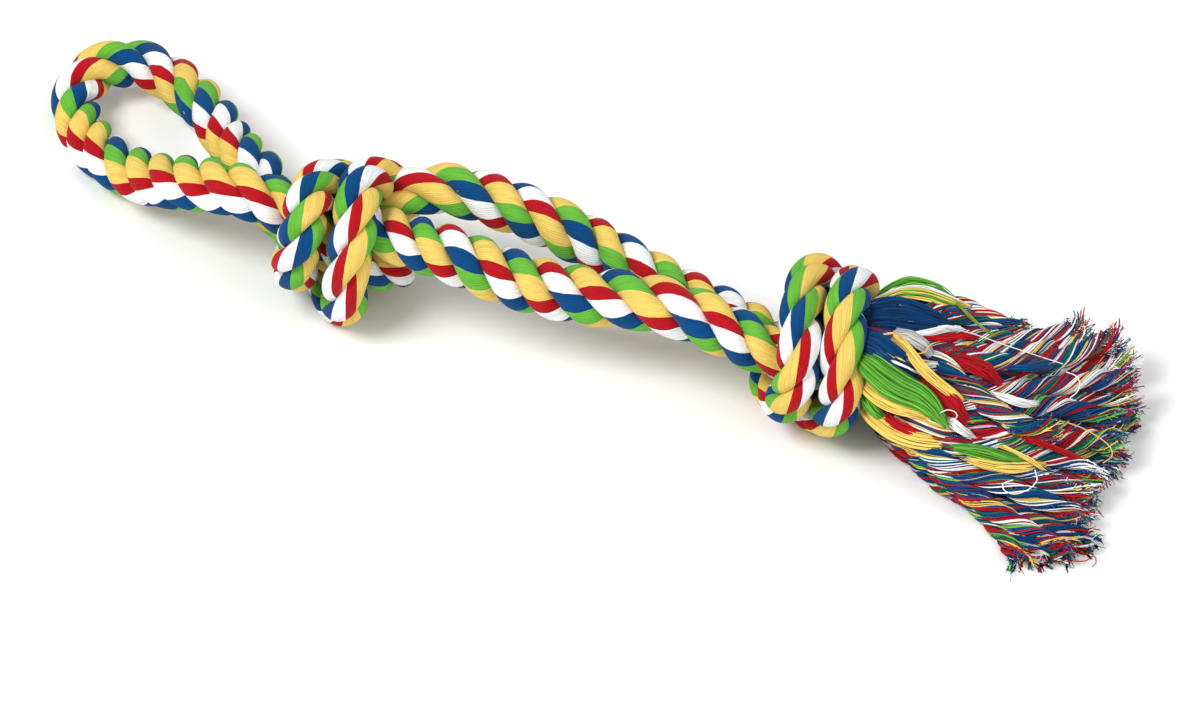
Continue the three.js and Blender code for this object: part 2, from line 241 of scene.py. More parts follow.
def ropeRun(route):
    turns = {}
    for knotName in ("handle", "tassel"):
        knot = route[knotName + "Knot"]
        for name in ("outer", "inner"):
            points = [knot[name + "In"], *knot[name], knot[name + "Out"]]
            turns[knotName + name.title()] = placeKnot(points, knot, route["knotPitch"])
    ends = {}
    for name, knot in (("frontEnd", turns["tasselOuter"]), ("backEnd", turns["tasselInner"])):
        end = route[name]
        ends[name] = knot[-1] + heading(end["yaw"], end["rise"]) * end["length"]
    sections = [
        ("frontEnd", [ends["frontEnd"]]),
        ("tasselOuter", turns["tasselOuter"][::-1]),
        ("backLeg", route["backLeg"][::-1]),
        ("handleInner", turns["handleInner"][::-1]),
        ("loop", route["loop"]),
        ("handleOuter", turns["handleOuter"]),
        ("frontLeg", route["frontLeg"]),
        ("tasselInner", turns["tasselInner"]),
        ("backEnd", [ends["backEnd"]]),
    ]
    points, first, last = [], {}, {}
    for name, part in sections:
        first[name] = len(points)
        points += [np.array(p, float) for p in part]
        last[name] = len(points) - 1
    run, s, marks = smoothRun(np.array(points) - np.array(route["middle"]), route["spacing"])
    starts = {name: marks[first[name]] for name, part in sections}
    stops = {name: marks[last[name]] for name, part in sections}
    return run, s, starts, stops


run, along, starts, stops = ropeRun(ropeRoute)
side, up = steadyFrame(run)[1:]
for name in starts:
    print("rope section %s from %.4f to %.4f m" % (name, starts[name], stops[name]))

# Three strands laid right-handed: rope diameters at metres along the run, and the crests that face the
# viewer, with eight more in the handle knot: metres along, turns of lay, strand and place of its first band
laidRope = {
    "strands": 3,
    "around": 36,
    "arcSteps": 720,
    "centreShare": 0.26,
    "radialShare": 0.24,
    "tangentShare": 0.285,
    "bandTurns": 2.0,
    "bandFlips": (0.584, 1.470),
    "floorEase": 0.0016,
    "endTurns": 20.0,
    "layEase": 0.006,
    "diameterEase": 0.018,
    "diameters": [
        (0.000, 0.0175), (0.140, 0.0175), (0.180, 0.0195), (0.260, 0.0195), (0.300, 0.0175),
        (0.350, 0.0185), (0.400, 0.0235), (0.430, 0.0245), (0.510, 0.0245), (0.550, 0.0225),
        (0.590, 0.0175), (0.632, 0.0175), (0.662, 0.0208), (0.732, 0.0208), (0.770, 0.0175),
        (0.826, 0.0185), (0.868, 0.0240), (0.908, 0.0245), (0.968, 0.0240), (1.020, 0.0220),
        (1.154, 0.0220), (1.194, 0.0212), (1.234, 0.0175), (1.292, 0.0175), (1.330, 0.0208),
        (1.389, 0.0208), (1.427, 0.0175), (1.464, 0.0185), (1.504, 0.0245), (1.544, 0.0260),
        (1.639, 0.0260), (1.674, 0.0235), (1.714, 0.0180), (1.774, 0.0175), (1.812, 0.0195),
        (1.881, 0.0195), (1.922, 0.0175), (2.032, 0.0175),
    ],
    "crests": [
        (0.1816, 3.614, 1, 0.75), (0.1932, 3.959, 0, 0.08), (0.2153, 4.291, 2, 0.93),
        (0.2440, 4.683, 1, 0.50), (0.4374, 8.669, 1, 0.71), (0.4549, 9.001, 0, 0.66),
        (0.4689, 9.335, 2, 0.72), (0.4864, 9.668, 1, 0.61), (0.5023, 10.000, 0, 0.71),
        (0.5194, 10.330, 2, 0.76), (0.5371, 10.653, 1, 0.63), (0.5576, 10.933, 0, 0.98),
        (0.6606, 13.031, 1, 0.21), (0.6853, 13.344, 0, 0.66), (0.7012, 13.676, 2, 0.42),
        (0.7196, 14.071, 1, 0.38), (0.7480, 14.618, 0, 0.74), (0.7540, 14.734, 2, 0.45),
        (0.7840, 15.312, 1, 0.73), (0.7900, 15.428, 0, 0.18), (0.7960, 15.543, 2, 0.85),
        (0.8420, 16.430, 0, 0.87), (0.8480, 16.546, 2, 0.49), (0.8540, 16.661, 1, 0.32),
        (0.8778, 17.120, 1, 0.31), (0.8937, 17.440, 0, 0.94), (0.9100, 17.763, 2, 0.52),
        (0.9276, 18.091, 1, 0.31), (0.9475, 18.439, 0, 0.85), (0.9686, 18.814, 2, 0.36),
        (0.9877, 19.173, 1, 0.39), (1.0044, 19.546, 0, 0.96), (1.0197, 19.918, 2, 0.37),
        (1.0410, 20.324, 1, 0.56), (1.0597, 20.656, 0, 0.66), (1.0776, 20.964, 2, 0.01),
        (1.0960, 21.280, 1, 0.20), (1.1166, 21.588, 0, 0.59), (1.1380, 21.910, 2, 0.95),
        (1.1503, 22.273, 1, 0.58), (1.3436, 26.296, 1, 0.20), (1.3575, 26.661, 0, 0.09),
        (1.3710, 27.004, 2, 0.37), (1.5115, 29.637, 1, 0.91), (1.5236, 29.973, 0, 0.88),
        (1.5390, 30.301, 2, 0.85), (1.5544, 30.636, 1, 0.82), (1.5693, 30.970, 0, 0.89),
        (1.5849, 31.307, 2, 0.72), (1.6017, 31.644, 1, 0.83), (1.6205, 31.972, 0, 0.90),
        (1.6410, 32.298, 2, 0.70), (1.6601, 32.628, 1, 0.90), (1.6738, 32.960, 0, 0.91),
        (1.8169, 34.712, 1, 0.93), (1.8341, 35.069, 0, 0.67), (1.8570, 35.406, 2, 0.12),
        (1.8744, 35.767, 1, 0.70),
    ],
}


def layTurns(rope):
    seen = [(s, turn) for s, turn, strand, band in rope["crests"]]
    start = (0.0, seen[0][1] - rope["endTurns"] * seen[0][0])
    end = (along[-1], seen[-1][1] + rope["endTurns"] * (along[-1] - seen[-1][0]))
    return eased(along, [start, *seen, end], rope["layEase"])


# The bands wind one way on the legs and the other way between the flips, which lie inside a knot
def bandLay(rope):
    cuts = (0.0, *rope["bandFlips"], along[-1])
    sign = np.ones(len(along))
    phases = [np.zeros(len(along)) for strand in range(rope["strands"])]
    for part in range(len(cuts) - 1):
        rows = (along >= cuts[part]) & (along <= cuts[part + 1])
        sign[rows] = -1 if part == 1 else 1
        for index in range(rope["strands"]):
            seen = [(s, band) for s, turn, strand, band in rope["crests"]
                    if strand == index and cuts[part] <= s <= cuts[part + 1]]
            at, value = np.array(seen).T
            phases[index][rows] = np.interp(along[rows], at, np.unwrap(value, period=1.0))
    return sign, phases


diameter = eased(along, laidRope["diameters"], laidRope["diameterEase"])
turns = layTurns(laidRope)
bandSign, bandPhase = bandLay(laidRope)
print("rope is %.3f m long with %.1f turns of lay" % (along[-1], turns[-1] - turns[0]))


# One strand as a grid of rings, with its yarn map: turns round the strand and metres along it
def strandGrid(index, rope):
    phase = 2 * math.pi * (turns + index / rope["strands"])
    outward = np.cos(phase)[:, None] * side + np.sin(phase)[:, None] * up
    sideways = -np.sin(phase)[:, None] * side + np.cos(phase)[:, None] * up
    count = rope["around"]
    angle = np.linspace(0, 2 * math.pi, count + 1)
    fine = np.linspace(0, 2 * math.pi, rope["arcSteps"] + 1)
    arc = np.hypot(rope["radialShare"] * np.sin(fine), rope["tangentShare"] * np.cos(fine))
    arc = np.concatenate([[0], np.cumsum((arc[1:] + arc[:-1]) / 2)])
    share = np.interp(angle, fine, arc / arc[-1])
    ring = angle[:-1]
    out = diameter[:, None] * (rope["centreShare"] + rope["radialShare"] * np.cos(ring)[None])
    across = diameter[:, None] * rope["tangentShare"] * np.sin(ring)[None]
    grid = run[:, None] + out[..., None] * outward[:, None] + across[..., None] * sideways[:, None]
    z = grid[..., 2]
    grid[..., 2] = (z + np.sqrt(z * z + rope["floorEase"] ** 2)) / 2
    around = bandSign[:, None] * (share[None] + rope["bandTurns"] * turns[:, None])
    return grid, around + bandPhase[index][:, None]


strands = [strandGrid(index, laidRope) for index in range(laidRope["strands"])]


def gridNormals(grid):
    lengthwise = np.gradient(grid, axis=0)
    around = np.roll(grid, -1, axis=1) - np.roll(grid, 1, axis=1)
    normal = np.cross(around, lengthwise)
    return normal / np.maximum(np.linalg.norm(normal, axis=2), 1e-12)[..., None]


strandNormals = [gridNormals(grid) for grid, around in strands]


def newObject(name, mesh, material):
    mesh.materials.append(material)
    piece = bpy.data.objects.new(name, mesh)
    bpy.context.scene.collection.objects.link(piece)
    return piece


# Closed tubes from grids of rings, with the yarn map on the corners
def tubeMesh(name, grids, maps, normals):
    vertices, faces, uv = [], [], []
    base = 0
    for grid, (u, v) in zip(grids, maps):
        rows, count = grid.shape[:2]
        vertices.append(grid.reshape(-1, 3))
        i, j = np.meshgrid(np.arange(rows - 1), np.arange(count), indexing="ij")
        nextJ = (j + 1) % count
        here, ahead = i * count, (i + 1) * count
        quads = np.stack([here + j, here + nextJ, ahead + nextJ, ahead + j], -1)
        faces += (quads.reshape(-1, 4) + base).tolist()
        corners = [u[i, j], v[i], u[i, j + 1], v[i], u[i + 1, j + 1], v[i + 1], u[i + 1, j], v[i + 1]]
        uv.append(np.stack(corners, -1).reshape(-1, 2))
        faces.append(list(range(base + count - 1, base - 1, -1)))
        faces.append(list(range(base + (rows - 1) * count, base + rows * count)))
        uv.append(np.stack([u[0, :count][::-1], np.full(count, v[0])], -1))
        uv.append(np.stack([u[-1, :count], np.full(count, v[-1])], -1))
        base += rows * count
    mesh = bpy.data.meshes.new(name)
    mesh.from_pydata(np.vstack(vertices).tolist(), [], faces)
    layer = mesh.uv_layers.new(name="yarnMap")
    layer.data.foreach_set("uv", np.vstack(uv).astype(np.float32).ravel())
    mesh.shade_smooth()
    mesh.normals_split_custom_set_from_vertices(np.vstack([n.reshape(-1, 3) for n in normals]).tolist())
    return mesh


# Node helpers
def addNode(tree, kind, **settings):
    node = tree.nodes.new(kind)
    for key, value in settings.items():
        setattr(node, key, value)
    return node


def setInput(tree, node, key, value):
    if isinstance(value, bpy.types.NodeSocket):
        tree.links.new(value, node.inputs[key])
    else:
        node.inputs[key].default_value = value


def maths(tree, operation, a, b=None, c=None):
    node = addNode(tree, "ShaderNodeMath", operation=operation)
    for key, value in enumerate((a, b, c)):
        if value is not None:
            setInput(tree, node, key, value)
    return node.outputs[0]


def combine(tree, x, y, z):
    node = addNode(tree, "ShaderNodeCombineXYZ")
    for key, value in enumerate((x, y, z)):
        setInput(tree, node, key, value)
    return node.outputs[0]


# Noise on the yarn map, by how many grains there are across and to a metre along
def noise(tree, u, v, grains, detail, layer=0.0):
    node = addNode(tree, "ShaderNodeTexNoise")
    place = combine(tree, maths(tree, "MULTIPLY", u, grains[0]), maths(tree, "MULTIPLY", v, grains[1]), layer)
    setInput(tree, node, "Vector", place)
    setInput(tree, node, "Scale", 1.0)
    setInput(tree, node, "Detail", detail)
    return node.outputs["Fac"]


def mixColour(tree, factor, a, b, blend="MIX"):
    node = addNode(tree, "ShaderNodeMix", data_type="RGBA", blend_type=blend)
    for key, value in ((0, factor), (6, a), (7, b)):
        setInput(tree, node, key, value)
    return node.outputs[2]


def linear(red, green, blue):
    def one(c):
        c /= 255
        return c / 12.92 if c <= 0.04045 else ((c + 0.055) / 1.055) ** 2.4
    return (one(red), one(green), one(blue), 1.0)


cottonColours = {
    "red": linear(178, 16, 28),
    "white": linear(246, 247, 248),
    "blue": linear(2, 70, 124),
    "green": linear(104, 182, 62),
    "yellow": linear(238, 204, 104),
    "teal": linear(0, 112, 88),
    "navy": linear(2, 62, 112),
    # painted shade: white cotton darkened to grey, for a bundle that lies in shade
    "grey": linear(196, 196, 194),
    "olive": linear(120, 150, 50),
}

# Spun yarn: fine lines along the yarn with painted shade in the grooves between yarns, each yarn a little
# lighter or darker, and specks of lint. Pairs of numbers are grains of noise across and to a metre along
spunYarn = {
    "wander": (9.0, 60.0),
    "wanderYarns": 2.6,
    "tone": (7.31, 45.0),
    "fibre": (160.0, 900.0),
    "lint": (26.0, 260.0),
    "lintLayer": 3.7,
    "lintAbove": 0.8,
    "lintColour": linear(240, 238, 230),
    "ridgeMiddle": 0.6,
    "ridgePaintedShade": 0.55,
    "fibreTone": 0.9,
    "ridgeHeight": 0.7,
    "fibreHeight": 0.6,
}


def makeYarnGroup(look):
    tree = bpy.data.node_groups.new("spunYarn", "ShaderNodeTree")
    face = tree.interface
    for name, kind in (("Map", "Vector"), ("Colour", "Color"), ("Yarns", "Float"), ("Tone", "Float"),
                       ("Lint", "Float")):
        face.new_socket(name=name, in_out="INPUT", socket_type="NodeSocket" + kind)
    for name, kind in (("Colour", "Color"), ("Height", "Float")):
        face.new_socket(name=name, in_out="OUTPUT", socket_type="NodeSocket" + kind)
    inside = addNode(tree, "NodeGroupInput")
    outside = addNode(tree, "NodeGroupOutput")
    apart = addNode(tree, "ShaderNodeSeparateXYZ")
    tree.links.new(inside.outputs["Map"], apart.inputs[0])
    u, v = apart.outputs[0], apart.outputs[1]
    wander = maths(tree, "MULTIPLY", noise(tree, u, v, look["wander"], 2.0), look["wanderYarns"])
    yarn = maths(tree, "MULTIPLY_ADD", u, inside.outputs["Yarns"], wander)
    wave = maths(tree, "SINE", maths(tree, "MULTIPLY", yarn, 2 * math.pi))
    ridge = maths(tree, "MULTIPLY_ADD", wave, 0.5, 0.5)
    tone = noise(tree, maths(tree, "FLOOR", yarn), v, look["tone"], 1.0)
    fibre = noise(tree, u, v, look["fibre"], 3.0)
    shade = maths(tree, "MULTIPLY", maths(tree, "SUBTRACT", tone, 0.5), 2.0)
    # painted shade: the colour is darker where the ridge wave is low, in the grooves between yarns
    parts = ((ridge, look["ridgeMiddle"], look["ridgePaintedShade"]), (fibre, 0.5, look["fibreTone"]))
    for value, middle, weight in parts:
        shade = maths(tree, "MULTIPLY_ADD", maths(tree, "SUBTRACT", value, middle), weight, shade)
    bright = maths(tree, "MULTIPLY_ADD", shade, inside.outputs["Tone"], 1.0)
    tinted = mixColour(tree, 1.0, inside.outputs["Colour"], combine(tree, bright, bright, bright), "MULTIPLY")
    spot = noise(tree, u, v, look["lint"], 1.0, look["lintLayer"])
    speck = maths(tree, "GREATER_THAN", spot, look["lintAbove"])
    lint = maths(tree, "MULTIPLY", speck, inside.outputs["Lint"])
    tree.links.new(mixColour(tree, lint, tinted, look["lintColour"]), outside.inputs["Colour"])
    height = maths(tree, "MULTIPLY", ridge, look["ridgeHeight"])
    height = maths(tree, "MULTIPLY_ADD", fibre, look["fibreHeight"], height)
    tree.links.new(height, outside.inputs["Height"])
    return tree


yarnGroup = makeYarnGroup(spunYarn)


def yarnMap(tree):
    return addNode(tree, "ShaderNodeUVMap", uv_map="yarnMap").outputs[0]


# Matt cotton with the spun yarn on it; what colours it is linked to the group that is returned
def makeCotton(name, finish):
    material = bpy.data.materials.new(name)
    material.use_nodes = True
    tree = material.node_tree
    shader = tree.nodes["Principled BSDF"]
    shader.inputs["Roughness"].default_value = finish["roughness"]
    shader.inputs["Sheen Weight"].default_value = finish["sheen"]
    shader.inputs["Specular IOR Level"].default_value = finish["specular"]
    group = addNode(tree, "ShaderNodeGroup", node_tree=yarnGroup)
    setInput(tree, group, "Map", yarnMap(tree))
    for key in ("Yarns", "Tone", "Lint"):
        setInput(tree, group, key, finish[key.lower()])
    tree.links.new(group.outputs["Colour"], shader.inputs["Base Color"])
    bump = addNode(tree, "ShaderNodeBump")
    bump.inputs["Strength"].default_value = finish["bump"]
    bump.inputs["Distance"].default_value = finish["depth"]
    tree.links.new(group.outputs["Height"], bump.inputs["Height"])
    tree.links.new(bump.outputs[0], shader.inputs["Normal"])
    return material, group


# Bands round a strand in the order that they are laid, with the share that each takes, and their ragged edges
ropeFinish = {
    "bands": [("red", 0.145), ("white", 0.205), ("blue", 0.2), ("green", 0.185), ("yellow", 0.265)],
    "edge": 0.014, "edgeGrains": (6.0, 220.0),
    "yarns": 42.0, "tone": 0.24, "lint": 0.35, "bump": 0.6, "depth": 0.0005,
    "roughness": 0.9, "sheen": 0.06, "specular": 0.12,
}


def makeRopeMaterial(finish):
    material, group = makeCotton("laidCotton", finish)
    tree = material.node_tree
    apart = addNode(tree, "ShaderNodeSeparateXYZ")
    tree.links.new(yarnMap(tree), apart.inputs[0])
    u, v = apart.outputs[0], apart.outputs[1]
    ragged = maths(tree, "SUBTRACT", noise(tree, u, v, finish["edgeGrains"], 2.0), 0.5)
    ramp = addNode(tree, "ShaderNodeValToRGB")
    ramp.color_ramp.interpolation = "CONSTANT"
    position = 0.0
    for index, (name, share) in enumerate(finish["bands"]):
        element = ramp.color_ramp.elements[index] if index < 2 else ramp.color_ramp.elements.new(position)
        element.position = position
        element.color = cottonColours[name]
        position += share
    shifted = maths(tree, "MULTIPLY_ADD", ragged, finish["edge"], u)
    tree.links.new(maths(tree, "FRACT", shifted), ramp.inputs[0])
    setInput(tree, group, "Colour", ramp.outputs[0])
    return material


ropeMaterial = makeRopeMaterial(ropeFinish)
print("rope material made")

# Stretches of rope, parted inside the knots and where a leg is straight between two bends
ropeParting = {
    "loopRoot": 0.06,
    "legHalf": 0.034,
    "tasselRoot": 0.024,
    "cordDiameters": 6,
    "pathStep": 5,
}
loopFrom, loopTo = starts["loop"] - ropeParting["loopRoot"], stops["loop"] + ropeParting["loopRoot"]
legMiddle = {name: (starts[name] + stops[name]) / 2 for name in ("frontLeg", "backLeg")}
legFrom = {name: middle - ropeParting["legHalf"] for name, middle in legMiddle.items()}
legTo = {name: middle + ropeParting["legHalf"] for name, middle in legMiddle.items()}
ropePieces = {
    "handLoop": {
        "from": loopFrom, "to": loopTo,
        "bodies": ("handle_knot", "handle_loop"), "bend": (-0.127, -0.145),
        "replaces": ["handle_loop"],
    },
    "handleKnotFront": {
        "from": loopTo, "to": laidRope["bandFlips"][1],
        "bodies": ("handle_knot",),
        "replaces": ["handle_knot_outer_turn"],
    },
    "handleKnotBack": {
        "from": laidRope["bandFlips"][0], "to": loopFrom,
        "bodies": ("handle_knot",),
        "replaces": ["handle_knot_inner_turn"],
    },
    "frontLegStart": {
        "from": laidRope["bandFlips"][1], "to": legFrom["frontLeg"],
        "bodies": ("handle_knot", "legs_handle_half"), "bend": (-0.050, -0.030),
        "replaces": [],
    },
    "backLegStart": {
        "from": legTo["backLeg"], "to": laidRope["bandFlips"][0],
        "bodies": ("handle_knot", "legs_handle_half"), "bend": (-0.050, -0.030),
        "replaces": [],
    },
    "frontLegMiddle": {
        "from": legFrom["frontLeg"], "to": legTo["frontLeg"],
        "bodies": ("legs_handle_half", "legs_tassel_half"), "bend": (0.010, 0.036),
        "replaces": ["front_leg_handle_half", "front_leg_tassel_half"],
    },
    "backLegMiddle": {
        "from": legFrom["backLeg"], "to": legTo["backLeg"],
        "bodies": ("legs_handle_half", "legs_tassel_half"), "bend": (0.010, 0.036),
        "replaces": ["back_leg_handle_half", "back_leg_tassel_half"],
    },
    "tasselKnotFront": {
        "from": legTo["frontLeg"], "to": stops["tasselInner"] - ropeParting["tasselRoot"],
        "bodies": ("legs_tassel_half", "tassel_knot"), "bend": (0.076, 0.096),
        "replaces": ["tassel_knot_inner_turn"],
    },
    "tasselKnotBack": {
        "from": starts["tasselOuter"] + ropeParting["tasselRoot"], "to": legFrom["backLeg"],
        "bodies": ("legs_tassel_half", "tassel_knot"), "bend": (0.076, 0.096),
        "replaces": ["tassel_knot_outer_turn"],
    },
}


def makeRopePiece(name, part):
    a = int(round(part["from"] / ropeRoute["spacing"]))
    b = int(round(part["to"] / ropeRoute["spacing"]))
    rows = slice(max(a, 0), min(b, len(along) - 1) + 1)
    grids = [grid[rows] for grid, around in strands]
    maps = [(around[rows], along[rows]) for grid, around in strands]
    normals = [normal[rows] for normal in strandNormals]
    piece = newObject(name, tubeMesh(name, grids, maps, normals), ropeMaterial)
    if len(part["bodies"]) == 1:
        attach(piece, part["bodies"][0])
    else:
        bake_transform(piece)
    if part["replaces"]:
        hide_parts(*part["replaces"])


for name, part in ropePieces.items():
    makeRopePiece(name, part)


